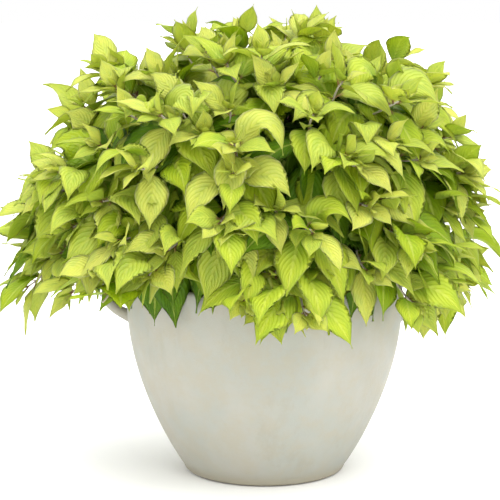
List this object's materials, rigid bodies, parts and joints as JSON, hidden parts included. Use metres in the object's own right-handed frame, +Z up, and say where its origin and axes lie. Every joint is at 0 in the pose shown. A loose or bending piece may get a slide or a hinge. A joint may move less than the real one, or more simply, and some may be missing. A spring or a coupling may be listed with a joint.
{
  "type": "potted salvia",
  "caption": "Lime-leaved salvia in a round pale stone pot with two loop handles, its leafy shoots mounded wide over the rim.",
  "frame": {"origin": "centre of the pot's flat underside, where it rests", "axes": "+Z up; -Y towards the front of the pot; the two loop handles at -X and +X"},
  "size_m": [0.6982, 0.6614, 0.6364],
  "materials": {
    "pot_stone": "matte",
    "potting_soil": "matte",
    "woody_stem": "matte",
    "salvia_leaf": "satin"
  },
  "bodies": {
    "root": {"pot": "pot_stone", "soil": "potting_soil", "stem_01": "woody_stem", "stem_02": "woody_stem", "stem_03": "woody_stem", "stem_04": "woody_stem", "stem_05": "woody_stem", "stem_06": "woody_stem", "stem_07": "woody_stem", "stem_08": "woody_stem", "stem_09": "woody_stem", "stem_10": "woody_stem", "stem_11": "woody_stem", "stem_12": "woody_stem", "stem_13": "woody_stem", "stem_14": "woody_stem", "stem_15": "woody_stem", "stem_16": "woody_stem", "stem_17": "woody_stem", "stem_18": "woody_stem", "stem_19": "woody_stem", "stem_20": "woody_stem", "stem_21": "woody_stem", "stem_22": "woody_stem", "stem_23": "woody_stem", "stem_24": "woody_stem", "shoot_01": "salvia_leaf", "shoot_02": "salvia_leaf", "shoot_03": "salvia_leaf", "shoot_04": "salvia_leaf", "shoot_05": "salvia_leaf", "shoot_06": "salvia_leaf", "shoot_07": "salvia_leaf", "shoot_08": "salvia_leaf", "shoot_09": "salvia_leaf", "shoot_10": "salvia_leaf", "shoot_11": "salvia_leaf", "shoot_12": "salvia_leaf", "shoot_13": "salvia_leaf", "shoot_14": "salvia_leaf", "shoot_15": "salvia_leaf", "shoot_16": "salvia_leaf", "shoot_17": "salvia_leaf", "shoot_18": "salvia_leaf", "shoot_19": "salvia_leaf", "shoot_20": "salvia_leaf", "shoot_21": "salvia_leaf", "shoot_22": "salvia_leaf", "shoot_23": "salvia_leaf", "shoot_24": "salvia_leaf"}
  },
  "joints": []
}
